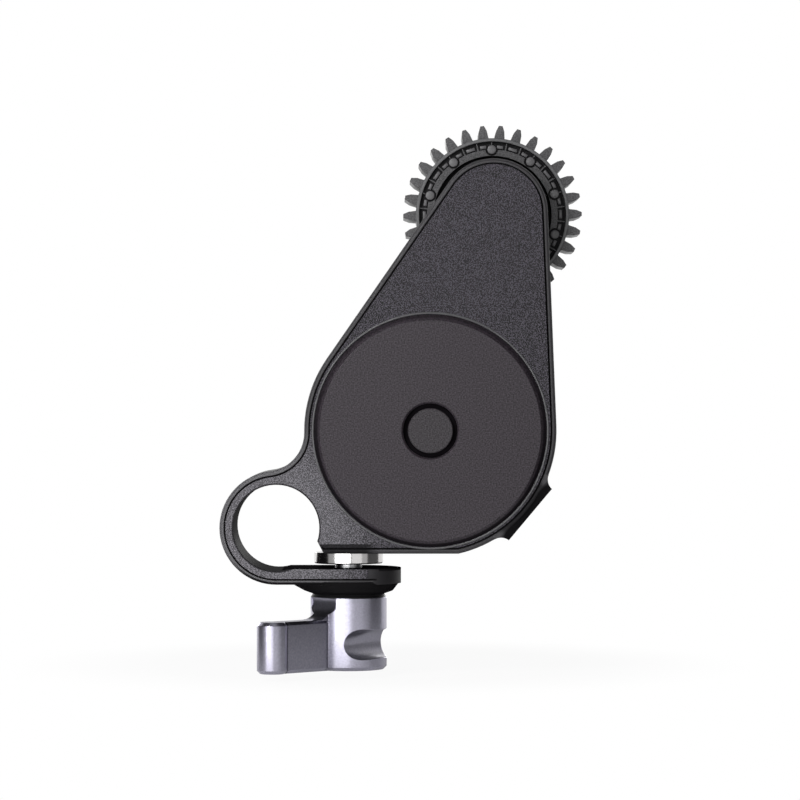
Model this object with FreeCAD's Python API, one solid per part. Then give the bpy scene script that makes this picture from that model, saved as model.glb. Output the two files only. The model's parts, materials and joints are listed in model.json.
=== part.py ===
"""Motor driven follow focus unit: a geared lens motor on a rod clamp.

Frame: millimetres, +Z up, the support rod runs along Y through the origin, the front faces -Y.
The origin is the middle of the rod clamp.
"""
import FreeCAD
import Part
import math
import os
from FreeCAD import Vector

# ---- fits ----
seat_gap = 0.02            # fixed piece in its seat, radial
running_gap = 0.05         # turning or sliding piece in its bore, radial
face_gap = 0.05            # flush covers, radial
gear_room = 0.3            # gear tips to the housing wall
sink = 0.1                 # fused pieces run this far into each other
past = 1.0                 # cutting shapes run this far past what they cut
near = 0.01                # slack when edges are picked by their place

# ---- rod clamp ----
rod_r = 6.0
rod_gap = 0.1
ring_wall = 1.95
clamp_half_depth = 7.0
slot_top_z = -3.66         # underside of the motor body
slot_height = 2.21
tongue_reach = 10.13       # rod axis to screw axis
tongue_end_r = 7.5
corner_x = 6.7             # mouth of the bore, where the slot begins
corner_z = -1.9
boss_rise = 0.4            # the boss leaves the tongue's side this far above its underside
boss_height = 1.5          # below the tongue's underside
boss_shoulder_r = 6.35
boss_shoulder_drop = 1.1
boss_foot_r = 5.25
boss_flare_r = 6.9         # skirt that runs out towards the ring
boss_flare_shift = 1.5

# ---- clamp screw ----
stud_r = 1.95
stud_room = 0.4            # clearance hole in the tongue
stud_grip = 3.6            # in the lever's hub
stud_end_gap = 0.5         # below the insert's blind end
thread_end = 0.3
flange_r = 4.93
flange_height = 1.6
insert_shank_r = 3.0
insert_shank_length = 2.76
insert_chamfer = 0.15
washer_top_r = 5.04
washer_r = 5.4
washer_height = 0.47
hub_r = 5.46
hub_height = 10.3
hub_gap = 0.05
wing_drop = 3.05           # hub top to wing top
wing_reach = 14.2          # hub axis to the middle of the wing's round end
wing_width = 3.3
wing_end_r = 2.17
wing_turn = 41.8           # degrees, wing from the -X direction towards the front
cove_r = 2.5
cove_bite = 0.9
edge_break = 0.45
dimple_r = 2.15
dimple_depth = 3.1
dimple_side = -31.5        # degrees, middle of the thumb dimple from +X
dimple_below = 6.55        # hub top to the dimple's middle

# ---- motor body ----
motor_r = 17.85
body_shift = 3.93          # rod axis to the body's left side
flat_bite = 0.45           # the slot's roof cuts this far into the round body
neck_fillet = 5.5
rim_width = 0.61
rim_round = 0.5
groove_width = 0.25
groove_depth = 0.3
plateau_height = 0.4
arm_lean = 16.2            # degrees from vertical
arm_wall = 0.95
arm_front_wall = 1.3
arm_thickness = 7.0

# ---- motor cap and button ----
cap_margin = 1.45          # body edge to cap edge
cap_bevel = 0.8
cap_height = 0.8           # above the plateau
cap_seat_depth = 0.4
cap_skirt_drop = 0.05      # the bevel ends this far above the plateau
button_r = 3.18
button_groove = 0.67
button_edge = 0.1
button_rim_slope = 0.25
button_travel = 0.5
button_flange = 1.05
button_flange_height = 0.4
button_tube_wall = 1.0
button_tube_gap = 0.5
switch_board_thickness = 0.6
switch_board_drop = 2.2    # cap seat to the switch board
switch_case_size = 3.4
switch_case_height = 1.1
switch_floor = 0.15
plunger_r = 0.8
plunger_gap = 0.1

# ---- gear train ----
train_module = 0.5
train_addendum = 0.8
train_dedendum = 1.05
train_pressure = 25.0
backlash = 0.12            # of every gear, along its pitch circle
pinion_teeth = 12
idler_1_large_teeth = 32
idler_1_small_teeth = 14
idler_2_large_teeth = 36
idler_2_small_teeth = 12
output_teeth = 24
idler_bow = 2.0            # first idler beside the line of centres
chamber_room = 2.1         # first idler's reach to the chamber's wall
front_layer = 1.4
rear_layer = 1.6
layer_gap = 0.4
axle_r = 1.0
axle_depth = 0.65          # into the arm's front wall
axle_end_gap = 0.1
idler_hub_wall = 1.0
idler_end_gap = 0.1

# ---- drive gear ----
drive_module = 0.8
drive_teeth = 30
drive_pressure = 20.0
drive_addendum = 1.0
drive_dedendum = 1.25
drive_width = 8.0
drive_gap = 0.4
drive_phase = 0.67         # degrees, a tooth's middle from +X
drive_rim_width = 0.5
drive_groove_width = 0.38
drive_groove_depth = 1.0
drive_cell_width = 0.75
drive_cell_depth = 0.35
drive_rib_width = 0.2
drive_sill_width = 0.92
drive_pin_r = 0.7
drive_pin_count = 10
drive_moat = 0.2
drive_front_recess = 4.2
drive_web = 2.0
drive_rear_wall = 2.1      # from the teeth's root circle
drive_hub_r = 4.2
output_shaft_r = 2.0
gear_washer_rim = 0.4      # beyond the hub
gear_washer_bore_r = 1.3
gear_washer_thickness = 0.6
gear_screw_head_r = 2.3
gear_screw_head_height = 1.6
gear_screw_r = 1.25
gear_screw_socket_r = 1.15
gear_screw_socket_depth = 1.0

# ---- motor ----
drum_margin = 1.25         # body edge to drum
drum_wall = 3.0            # round the control board
drum_bore_wall = 3.9       # round the motor
drum_length = 17.5
cover_thickness = 1.5
cover_chamfer = 0.6
plate_thickness = 1.2
bell_wall = 0.8
bell_room = 0.7            # bell to the drum's bore
bell_lead = 0.3            # open end ahead of the stator
bell_overhang = 1.4        # past the motor tube
bell_floor = 1.0
magnet_count = 14
magnet_thickness = 0.9
magnet_share = 0.72        # of the bell's bore, covered by magnets
stator_rise = 1.6          # back plate to the stator
stator_room = 1.8          # bell's bore to the stator
stator_length = 5.0
stator_slots = 9
stator_yoke = 1.4
shoe_thickness = 0.8
slot_mouth = 1.2
tooth_width = 1.6
coil_width = 2.55
coil_overhang = 0.7
coil_foot_gap = 1.0        # coil to the yoke
coil_shoe_gap = 0.2
rotor_shaft_r = 1.5
bearing_r = 2.48
bearing_length = 2.0
bearing_shoulder = 0.4
bearing_end_gap = 0.05
motor_tube_r = 3.4
motor_tube_length = 8.0
output_bearing_r = 4.0
output_tube_wall = 0.8
output_tube_length = 4.0
output_end_gap = 0.1
output_shaft_lead = 0.2
board_room = 0.3           # board to the drum's wall
board_thickness = 1.2
board_rise = 11.0          # back plate to the control board
chip_gap = 1.0             # between the chips on the control board
chip_wide = 5.0
chip_narrow = 3.0
chip_height = 1.2

# ---- screws ----
screw_r = 0.8
screw_head_r = 1.5
screw_head_height = 0.9
screw_grip = 3.0           # into the front housing
screw_end_gap = 0.3
socket_r = 0.7
socket_depth = 0.55
small_round_sides = 16     # facets of repeated small holes and screws
cover_screw_count = 3

# ---- cable port ----
port_angle = -40.0
port_rise = 0.65           # pad beyond the round body
port_face_width = 9.5
port_y = 1.0
port_width = 8.94
port_height = 3.2
port_wall = 0.3
port_depth = 5.0
port_end_gap = 0.05
contact_thickness = 0.7
contact_width = 6.62
contact_end_gap = 0.8      # inside the shell's mouth
port_fillet = 1.8
port_front_slope = 1.6
port_slope_run = 1.0       # beyond the pad

# ---- derived places ----
bore_r = rod_r + rod_gap
ring_r = bore_r + ring_wall
face_y = -clamp_half_depth
rim_y = face_y + plateau_height
arm_rear_y = face_y + arm_thickness
tongue_top_z = slot_top_z - slot_height
tongue_end_x = tongue_reach + tongue_end_r
boss_foot_z = -ring_r - boss_height
washer_top_z = boss_foot_z
hub_top_z = washer_top_z - washer_height - hub_gap
hub_foot_z = hub_top_z - hub_height
stud_foot_z = hub_top_z - stud_grip
groove_inner = rim_width + groove_width
motor_x = body_shift + motor_r
motor_z = slot_top_z + motor_r - flat_bite
cap_r = motor_r - cap_margin
drum_r = motor_r - drum_margin
port_reach = motor_r + port_rise
motor_axis = Vector(motor_x, 0, motor_z)
ring_axis = Vector(0, 0, 0)
arm_along = Vector(math.sin(math.radians(arm_lean)), 0, math.cos(math.radians(arm_lean)))
arm_across = Vector(-arm_along.z, 0, arm_along.x)


def pitch_r(teeth):
    return train_module * teeth / 2


def tip_r(teeth):
    return pitch_r(teeth) + train_addendum * train_module


first_mesh = pitch_r(pinion_teeth + idler_1_large_teeth)
second_mesh = pitch_r(idler_1_small_teeth + idler_2_large_teeth)
third_mesh = pitch_r(idler_2_small_teeth + output_teeth)
idler_1_along = math.sqrt(first_mesh ** 2 - idler_bow ** 2)
idler_2_along = idler_1_along + math.sqrt(second_mesh ** 2 - idler_bow ** 2)
arm_length = idler_2_along + third_mesh
idler_1_axis = motor_axis + arm_along * idler_1_along + arm_across * idler_bow
idler_2_axis = motor_axis + arm_along * idler_2_along
gear_axis = motor_axis + arm_along * arm_length
arm_end_r = tip_r(output_teeth) + gear_room + arm_wall
chamber_r = idler_bow + tip_r(idler_1_large_teeth) + chamber_room

cavity_y = face_y + arm_front_wall
front_layer_y = cavity_y + layer_gap
rear_layer_y = front_layer_y + front_layer + layer_gap
plate_y = arm_rear_y - plate_thickness
cap_seat_y = face_y + cap_seat_depth
cap_face_y = face_y - cap_height
board_switch_y = cap_seat_y + switch_board_drop
button_hole_r = button_r + button_groove
button_flange_r = button_hole_r + button_flange
button_tube_r = button_flange_r + button_tube_gap + button_tube_wall
drive_y = arm_rear_y + drive_gap
drive_end_y = drive_y + drive_width
drive_pitch_r = drive_module * drive_teeth / 2
drive_root_r = drive_pitch_r - drive_dedendum * drive_module
drive_rim_r = drive_root_r - drive_rim_width
drive_cell_r = drive_rim_r - drive_groove_width
drive_cell_inner_r = drive_cell_r - drive_cell_width
drive_sill_r = drive_cell_inner_r - drive_sill_width
drive_web_y = drive_y + drive_front_recess
washer_end_y = drive_end_y + gear_washer_thickness
port_out = Vector(math.cos(math.radians(port_angle)), 0, math.sin(math.radians(port_angle)))
port_side = Vector(-port_out.z, 0, port_out.x)
drum_bore_r = drum_r - drum_bore_wall
bell_r = drum_bore_r - bell_room
bell_bore_r = bell_r - bell_wall
magnet_width = 2 * math.pi * bell_bore_r / magnet_count * magnet_share
stator_r = bell_bore_r - stator_room
stator_y = arm_rear_y + stator_rise
stator_end_y = stator_y + stator_length
stator_bore_r = motor_tube_r + seat_gap
yoke_r = stator_bore_r + stator_yoke
motor_tube_end_y = arm_rear_y + motor_tube_length
output_tube_r = output_bearing_r + output_tube_wall
output_tube_end_y = arm_rear_y + output_tube_length
bell_floor_y = motor_tube_end_y + bell_overhang - bell_floor
board_bore_r = drum_r - drum_wall
board_y = arm_rear_y + board_rise
board_r = board_bore_r - board_room
drum_end_y = arm_rear_y + drum_length
cover_y = drum_end_y + cover_thickness
screw_circle_r = drum_r - drum_wall / 2
screw_seat_y = cover_y - screw_head_height
cover_screw_angles = [90 - arm_lean + 360.0 / cover_screw_count * (index + 0.5)
                      for index in range(cover_screw_count)]


# ---- shape helpers ----
def disc(radius, y0, y1, centre):
    """Cylinder along Y between two depths."""
    return Part.makeCylinder(radius, y1 - y0, Vector(centre.x, y0, centre.z), Vector(0, 1, 0))


def tube(outer, inner, y0, y1, centre):
    return disc(outer, y0, y1, centre).cut(disc(inner, y0, y1, centre))


def post(radius, z0, z1, x):
    """Cylinder along Z on the clamp screw's side."""
    return Part.makeCylinder(radius, z1 - z0, Vector(x, 0, z0))


def prism(points, y0, y1):
    """Straight sided outline, given as (x, z), taken from one depth to another."""
    corners = [Vector(x, y0, z) for x, z in points]
    face = Part.Face(Part.makePolygon(corners + corners[:1]))
    return face.extrude(Vector(0, y1 - y0, 0))


def small_round(radius, y0, y1, place):
    """Faceted round along Y for what repeats: screws, their holes and the drive gear's pins."""
    corners = [on_circle(place, radius, 360.0 / small_round_sides * corner)
               for corner in range(small_round_sides)]
    return prism([(c.x, c.z) for c in corners], y0, y1)


def hex_socket(radius, y0, y1, place):
    corners = [on_circle(place, radius, 60 * corner) for corner in range(6)]
    return prism([(c.x, c.z) for c in corners], y0, y1)


def on_circle(centre, radius, degrees):
    angle = math.radians(degrees)
    return centre + Vector(radius * math.cos(angle), 0, radius * math.sin(angle))


def bearing_of(vector):
    """Angle of a direction in the front view, degrees from +X towards +Z."""
    return math.degrees(math.atan2(vector.z, vector.x))


def arc(centre, radius, start, end):
    """Arc in the front view; it runs from start to end in degrees, either way round."""
    first = on_circle(centre, radius, start)
    middle = on_circle(centre, radius, (start + end) / 2)
    last = on_circle(centre, radius, end)
    return Part.Arc(first, middle, last).toShape()


def tangent_bearings(near_r, far_r, length, along):
    """Where the two outer tangent lines touch both circles, seen from either centre."""
    spread = math.degrees(math.acos((near_r - far_r) / length))
    middle = bearing_of(along)
    return middle + spread, middle - spread


def hull(near, near_r, far, far_r, y0, y1):
    """Two discs and everything between their outer tangents."""
    along = far - near
    left, right = tangent_bearings(near_r, far_r, along.Length, along)
    corners = [on_circle(near, near_r, left), on_circle(far, far_r, left),
               on_circle(far, far_r, right), on_circle(near, near_r, right)]
    edges = [Part.makeLine(corners[0], corners[1]), arc(far, far_r, left, right),
             Part.makeLine(corners[2], corners[3]), arc(near, near_r, right, left - 360)]
    face = Part.Face(Part.Wire(edges))
    face.translate(Vector(0, y0, 0))
    return face.extrude(Vector(0, y1 - y0, 0))


def fused(shapes):
    return shapes[0].multiFuse(shapes[1:]).removeSplitter() if len(shapes) > 1 else shapes[0]


def edges_where(shape, test):
    return [edge for edge in shape.Edges if test(edge)]


# ---- gears ----
def involute(angle):
    return math.tan(angle) - angle


def gear_outline(teeth, module, addendum, dedendum, pressure, backlash, phase, flank_steps):
    """Involute gear outline as (x, z) pairs about the origin; a tooth's middle lies at phase."""
    pitch = module * teeth / 2
    base = pitch * math.cos(math.radians(pressure))
    tip = pitch + addendum * module
    root = pitch - dedendum * module
    start = max(base, root)
    half = (math.pi * module / 2 - backlash / 2) / (2 * pitch) + involute(math.radians(pressure))
    flank = [(root, half - involute(math.acos(base / start)))]
    for step in range(1, flank_steps + 1):
        radius = start + (tip - start) * step / flank_steps
        flank.append((radius, half - involute(math.acos(base / radius))))
    points = []
    for tooth in range(teeth):
        middle = math.radians(phase) + 2 * math.pi * tooth / teeth
        rising = [(radius, middle - angle) for radius, angle in flank]
        falling = [(radius, middle + angle) for radius, angle in reversed(flank)]
        points += [(r * math.cos(a), r * math.sin(a)) for r, a in rising + falling]
    return points


def train_gear(teeth, y0, y1, axis, phase):
    outline = gear_outline(teeth, train_module, train_addendum, train_dedendum,
                           train_pressure, backlash, phase, 1)
    return prism([(x + axis.x, z + axis.z) for x, z in outline], y0, y1)


def meshed_phase(driver_axis, driver_teeth, driver_phase, axis, teeth):
    """Phase at which a gear's tooth gap takes in the driver's tooth on the line of centres."""
    line = bearing_of(axis - driver_axis)
    return line + 180 - (driver_phase - line) * driver_teeth / teeth + 180 / teeth


idler_1_phase = meshed_phase(motor_axis, pinion_teeth, 0.0, idler_1_axis, idler_1_large_teeth)
idler_2_phase = meshed_phase(idler_1_axis, idler_1_small_teeth, idler_1_phase,
                             idler_2_axis, idler_2_large_teeth)
output_phase = meshed_phase(idler_2_axis, idler_2_small_teeth, idler_2_phase,
                            gear_axis, output_teeth)


# ---- front housing ----
def body_face(inset, with_arm=True):
    """Front outline of the body, clamp ring and tongue, drawn in by inset on its outer side."""
    ring = ring_r - inset
    body = motor_r - inset
    fillet = neck_fillet + inset
    span = motor_axis.Length
    reach_ring = ring_r + neck_fillet
    reach_body = motor_r + neck_fillet
    run = (reach_ring ** 2 - reach_body ** 2 + span ** 2) / (2 * span)
    rise = math.sqrt(reach_ring ** 2 - run ** 2)
    toward = motor_axis * (1 / span)
    neck = toward * run + Vector(-toward.z, 0, toward.x) * rise
    ring_touch = bearing_of(neck)
    body_touch = bearing_of(neck - motor_axis) % 360
    flat_z = slot_top_z + inset
    flat_touch = -math.degrees(math.asin((motor_z - flat_z) / body))
    mouth = math.degrees(math.asin(corner_z / bore_r))
    lip = math.degrees(math.asin(tongue_top_z / bore_r))
    flat_end = on_circle(motor_axis, body, flat_touch)
    corner = Vector(corner_x, 0, flat_z)
    tongue_low = Vector(tongue_end_x, 0, -ring)
    tongue_high = Vector(tongue_end_x, 0, tongue_top_z)
    edges = [Part.makeLine(tongue_low, Vector(0, 0, -ring)),
             arc(ring_axis, ring, 270, ring_touch),
             arc(neck, fillet, ring_touch - 180, body_touch - 180)]
    if with_arm:
        left, right = tangent_bearings(motor_r, arm_end_r, arm_length, arm_along)
        end = arm_end_r - inset
        edges += [arc(motor_axis, body, body_touch, left),
                  Part.makeLine(on_circle(motor_axis, body, left), on_circle(gear_axis, end, left)),
                  arc(gear_axis, end, left, right),
                  Part.makeLine(on_circle(gear_axis, end, right), on_circle(motor_axis, body, right)),
                  arc(motor_axis, body, right, flat_touch)]
    else:
        edges.append(arc(motor_axis, body, body_touch, flat_touch))
    edges += [Part.makeLine(flat_end, corner),
              Part.makeLine(corner, on_circle(ring_axis, bore_r, mouth)),
              arc(ring_axis, bore_r, mouth, lip + 360),
              Part.makeLine(on_circle(ring_axis, bore_r, lip), tongue_high),
              Part.makeLine(tongue_high, tongue_low)]
    return Part.Face(Part.Wire(Part.__sortEdges__(edges)))


def body_plate(inset, y0, y1, with_arm=True):
    face = body_face(inset, with_arm)
    face.translate(Vector(0, y0, 0))
    return face.extrude(Vector(0, y1 - y0, 0))


def outer_front_edge(edge, y):
    """True for the front edges on the outside, away from the bore, the slot and its mouth."""
    box = edge.BoundBox
    if abs(box.YMin - y) > near or abs(box.YMax - y) > near:
        return False
    middle = edge.CenterOfMass
    in_bore = middle.Length < bore_r + ring_wall / 2 and middle.x < corner_x
    in_slot = middle.z > tongue_top_z - near and box.ZMax < slot_top_z - near
    tongue_side = middle.x > tongue_end_x - near and box.ZMax < slot_top_z
    return not (in_bore or in_slot or tongue_side)


def port_side_curves(side):
    """Hollow fillet from one corner of the cable pad to the round body, and the line inside it."""
    half = port_face_width / 2
    corner_reach = math.hypot(port_reach, half)
    corner_turn = math.degrees(math.atan2(half, port_reach))
    centre_reach = motor_r + port_fillet
    run = (centre_reach ** 2 - port_fillet ** 2 + corner_reach ** 2) / (2 * corner_reach)
    turn = port_angle + side * (corner_turn + math.degrees(math.acos(run / centre_reach)))
    corner = on_circle(motor_axis, corner_reach, port_angle + side * corner_turn)
    centre = on_circle(motor_axis, centre_reach, turn)
    touch = on_circle(motor_axis, motor_r, turn)
    foot = on_circle(motor_axis, motor_r - rim_width, turn)
    toward = (corner - centre) + (touch - centre)
    middle = centre + toward * (port_fillet / toward.Length)
    curves = [Part.Arc(corner, middle, touch).toShape(), Part.makeLine(touch, foot)]
    return curves, corner, foot


def port_block():
    """Raised flat pad for the cable port, blended into the round body by hollow fillets."""
    first, first_corner, first_foot = port_side_curves(1)
    second, second_corner, second_foot = port_side_curves(-1)
    edges = first + second + [Part.makeLine(first_corner, second_corner),
                              Part.makeLine(first_foot, second_foot)]
    face = Part.Face(Part.Wire(Part.__sortEdges__(edges)))
    face.translate(Vector(0, rim_y, 0))
    block = face.extrude(Vector(0, clamp_half_depth - rim_y, 0))
    return block.cut(port_front_wedge())


def port_front_wedge():
    """What the pad's sloped front leaves away."""
    front = Vector(0, rim_y, 0)
    inner = motor_axis + port_out * (motor_r - rim_width) + front
    outer = motor_axis + port_out * (port_reach + port_slope_run) + front
    corners = [inner, outer, outer + Vector(0, port_front_slope, 0), inner]
    half_step = port_side * port_face_width
    face = Part.Face(Part.makePolygon([corner - half_step for corner in corners]))
    return face.extrude(half_step * 2)


def port_slot(wall, near_reach, far_reach):
    """Slot with half round ends, its long side along Y, drawn in by wall from the port's outline."""
    half_height = port_height / 2 - wall
    half_width = port_width / 2 - wall
    start = motor_axis + port_out * near_reach + Vector(0, port_y, 0)
    up = port_side * half_height
    straight = Vector(0, half_width - half_height, 0)
    end = Vector(0, half_width, 0)
    edges = [Part.Arc(start + up - straight, start - end, start - up - straight).toShape(),
             Part.makeLine(start - up - straight, start - up + straight),
             Part.Arc(start - up + straight, start + end, start + up + straight).toShape(),
             Part.makeLine(start + up + straight, start + up - straight)]
    return Part.Face(Part.Wire(edges)).extrude(port_out * (far_reach - near_reach))


def port_pocket():
    """Opening for the cable socket, cut inward from the pad."""
    return port_slot(-seat_gap, port_reach - port_depth - seat_gap, port_reach + past)


def gear_cavity(y0, y1):
    """Room for the reduction gears: round the motor, the second idler and the output gear."""
    idler_room = tip_r(idler_2_large_teeth) + gear_room
    near = hull(motor_axis, chamber_r, idler_2_axis, idler_room, y0, y1)
    far = hull(idler_2_axis, idler_room, gear_axis, arm_end_r - arm_wall, y0, y1)
    return fused([near, far])


def back_plate_outline(gap, y0, y1):
    return hull(motor_axis, drum_r + gap, gear_axis, arm_end_r - arm_wall / 2 + gap, y0, y1)


def tongue_round(z0, z1):
    """Everything beyond the tongue's round end, to be cut away."""
    block = Part.makeBox(2 * tongue_end_r, 4 * tongue_end_r, z1 - z0,
                         Vector(tongue_reach, -2 * tongue_end_r, z0))
    return block.cut(post(tongue_end_r, z0 - past, z1 + past, tongue_reach))


def clamp_boss():
    """Turned boss under the tongue, with a skirt that runs out towards the ring."""
    shoulder_z = -ring_r - boss_shoulder_drop
    outline = [(0, boss_foot_z), (boss_foot_r, boss_foot_z), (boss_shoulder_r, shoulder_z),
               (tongue_end_r, -ring_r + boss_rise), (0, -ring_r + boss_rise)]
    corners = [Vector(tongue_reach + radius, 0, z) for radius, z in outline]
    face = Part.Face(Part.makePolygon(corners + corners[:1]))
    boss = face.revolve(Vector(tongue_reach, 0, 0), Vector(0, 0, 1), 360)
    wide = Part.Wire(Part.makeCircle(boss_flare_r, Vector(tongue_reach - boss_flare_shift, 0, -ring_r)))
    narrow = Part.Wire(Part.makeCircle(boss_shoulder_r, Vector(tongue_reach, 0, shoulder_z)))
    return boss.fuse(Part.makeLoft([wide, narrow], True, True))


def screw_places(angles):
    return [on_circle(motor_axis, screw_circle_r, angle) for angle in angles]


def rounded_rim(plate):
    """Front rim eased by two flats that touch one quarter circle."""
    turn = math.radians(90 / 3)
    down_side = rim_round * (1 - math.tan(turn / 2))
    across_top = down_side * math.tan(turn)
    rim = edges_where(plate, lambda edge: outer_front_edge(edge, rim_y))
    plate = plate.makeChamfer(down_side, across_top, rim)
    inner = edges_where(plate, lambda edge: outer_front_edge(edge, rim_y))
    return plate.makeChamfer(down_side - across_top, inner)


def housing_form():
    """Body, arm, ring and tongue with the raised face inside its groove and rim."""
    front = rounded_rim(body_plate(0, rim_y, arm_rear_y))
    rear = body_plate(0, arm_rear_y, clamp_half_depth, with_arm=False)
    groove = body_plate(rim_width, rim_y - past, rim_y + groove_depth)
    raised = body_plate(groove_inner, face_y, rim_y + groove_depth)
    body = front.fuse([rear, port_block()]).cut(groove).fuse(raised)
    body = body.cut(tongue_round(-ring_r - past, tongue_top_z + near))
    return body.fuse(clamp_boss())


def main_housing():
    axle_floor_y = cavity_y - axle_depth - axle_end_gap
    insert_roof_z = slot_top_z + insert_shank_length + seat_gap
    cuts = [disc(cap_r + face_gap, face_y - past, cap_seat_y, motor_axis),
            disc(button_tube_r + face_gap, face_y, cavity_y + sink, motor_axis),
            gear_cavity(cavity_y, plate_y + sink),
            back_plate_outline(face_gap, plate_y, arm_rear_y + sink),
            disc(drum_r + face_gap, arm_rear_y, clamp_half_depth + past, motor_axis),
            post(stud_r + stud_room, boss_foot_z - past, tongue_top_z + past, tongue_reach),
            post(insert_shank_r + seat_gap, slot_top_z - past, insert_roof_z, tongue_reach),
            disc(axle_r + seat_gap, axle_floor_y, cavity_y + sink, idler_1_axis),
            disc(axle_r + seat_gap, axle_floor_y, cavity_y + sink, idler_2_axis),
            port_pocket()]
    for place in screw_places(cover_screw_angles):
        cuts.append(small_round(screw_r + face_gap, plate_y - screw_grip, plate_y + sink, place))
    return housing_form().cut(cuts)


def rear_housing():
    """Motor drum and gearbox back plate in one piece, set into the front housing from behind."""
    plate = back_plate_outline(0, plate_y, arm_rear_y)
    drum = disc(drum_r, arm_rear_y - sink, drum_end_y, motor_axis)
    bell_room_cut = disc(drum_bore_r, arm_rear_y, board_y, motor_axis)
    board_room_cut = disc(board_bore_r, board_y, drum_end_y + past, motor_axis)
    motor_tube = disc(motor_tube_r, arm_rear_y - sink, motor_tube_end_y, motor_axis)
    output_tube = disc(output_tube_r, arm_rear_y - sink, output_tube_end_y, gear_axis)
    body = plate.fuse(drum).cut([bell_room_cut, board_room_cut]).fuse([motor_tube, output_tube])
    cuts = [disc(bearing_r + seat_gap, plate_y - past, plate_y + bearing_length, motor_axis),
            disc(bearing_r + seat_gap, motor_tube_end_y - bearing_length, motor_tube_end_y + past,
                 motor_axis),
            disc(bearing_r - bearing_shoulder, plate_y, motor_tube_end_y, motor_axis),
            disc(output_bearing_r + seat_gap, plate_y - past, output_tube_end_y + past, gear_axis),
            disc(axle_r + seat_gap, plate_y - past, arm_rear_y + past, idler_1_axis),
            disc(axle_r + seat_gap, plate_y - past, arm_rear_y + past, idler_2_axis),
            port_pocket()]
    for place in screw_places(cover_screw_angles):
        cuts.append(small_round(screw_r + face_gap, plate_y - past, drum_end_y + past, place))
    return body.cut(cuts).removeSplitter()


def rear_cover():
    cover = disc(drum_r, drum_end_y, cover_y, motor_axis)
    edges = edges_where(cover, lambda edge: edge.BoundBox.YMin > cover_y - near)
    cover = cover.makeChamfer(cover_chamfer, edges)
    cuts = []
    for place in screw_places(cover_screw_angles):
        cuts.append(small_round(screw_r + face_gap, drum_end_y - past, cover_y + past, place))
        cuts.append(small_round(screw_head_r + face_gap, screw_seat_y, cover_y + past, place))
    return cover.cut(cuts)


def cover_screw(place):
    """Long socket head screw through the cover and the drum wall into the front housing."""
    head = small_round(screw_head_r, screw_seat_y, cover_y, place)
    shank = small_round(screw_r, plate_y - screw_grip + screw_end_gap, screw_seat_y, place)
    recess = hex_socket(socket_r, cover_y - socket_depth, cover_y + past, place)
    return head.fuse(shank).cut(recess)


# ---- motor cap and button ----
def revolved(profile, axis_at):
    """Turn an outline, given as (radius, y), about the Y axis through a point."""
    corners = [Vector(axis_at.x + radius, y, axis_at.z) for radius, y in profile]
    face = Part.Face(Part.makePolygon(corners + corners[:1]))
    return face.revolve(axis_at, Vector(0, 1, 0), 360)


def motor_cap():
    slope = button_rim_slope
    tube_bore_r = button_tube_r - button_tube_wall
    profile = [(button_hole_r, cap_seat_y), (button_hole_r, cap_face_y + slope),
               (button_hole_r + slope, cap_face_y), (cap_r - cap_bevel, cap_face_y),
               (cap_r, face_y - cap_skirt_drop), (cap_r, cap_seat_y), (button_tube_r, cap_seat_y),
               (button_tube_r, board_switch_y), (tube_bore_r, board_switch_y),
               (tube_bore_r, cap_seat_y)]
    return revolved(profile, motor_axis)


def button_cap():
    top = cap_seat_y + running_gap
    foot = top + button_flange_height
    profile = [(0, cap_face_y), (button_r - button_edge, cap_face_y),
               (button_r, cap_face_y + button_edge), (button_r, top), (button_flange_r, top),
               (button_flange_r, foot), (0, foot)]
    return revolved(profile, motor_axis)


def switch_board():
    return disc(button_tube_r, board_switch_y, board_switch_y + switch_board_thickness, motor_axis)


def switch_case():
    half = switch_case_size / 2
    case = Part.makeBox(switch_case_size, switch_case_height, switch_case_size,
                        Vector(motor_x - half, board_switch_y - switch_case_height, motor_z - half))
    well = disc(plunger_r + running_gap, board_switch_y - switch_case_height - past,
                board_switch_y - switch_floor, motor_axis)
    return case.cut(well)


def switch_plunger():
    under_button = cap_seat_y + running_gap + button_flange_height
    end = board_switch_y - switch_floor - button_travel - plunger_gap
    return disc(plunger_r, under_button, end, motor_axis)


# ---- gear train ----
def motor_pinion():
    gear = train_gear(pinion_teeth, rear_layer_y, rear_layer_y + rear_layer, motor_axis, 0.0)
    return gear.cut(disc(rotor_shaft_r + seat_gap, rear_layer_y - past, plate_y, motor_axis))


def idler_gear(axis, front_teeth, front_phase, rear_teeth, rear_phase):
    front = train_gear(front_teeth, front_layer_y, front_layer_y + front_layer, axis, front_phase)
    rear = train_gear(rear_teeth, rear_layer_y, rear_layer_y + rear_layer, axis, rear_phase)
    hub = disc(axle_r + idler_hub_wall, cavity_y + idler_end_gap, plate_y - idler_end_gap, axis)
    return front.fuse([rear, hub]).cut(disc(axle_r + running_gap, cavity_y, plate_y, axis))


def idler_axle(axis):
    return disc(axle_r, cavity_y - axle_depth, arm_rear_y - axle_end_gap, axis)


def output_gear():
    gear = train_gear(output_teeth, rear_layer_y, rear_layer_y + rear_layer, gear_axis, output_phase)
    return gear.cut(disc(output_shaft_r, rear_layer_y - past, plate_y, gear_axis))


def output_shaft():
    return disc(output_shaft_r, rear_layer_y - output_shaft_lead, drive_end_y, gear_axis)


def output_bearing(y0):
    return tube(output_bearing_r, output_shaft_r + seat_gap, y0, y0 + bearing_length, gear_axis)


def motor_bearing(y0, y1):
    return tube(bearing_r, rotor_shaft_r + seat_gap, y0, y1, motor_axis)


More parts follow.
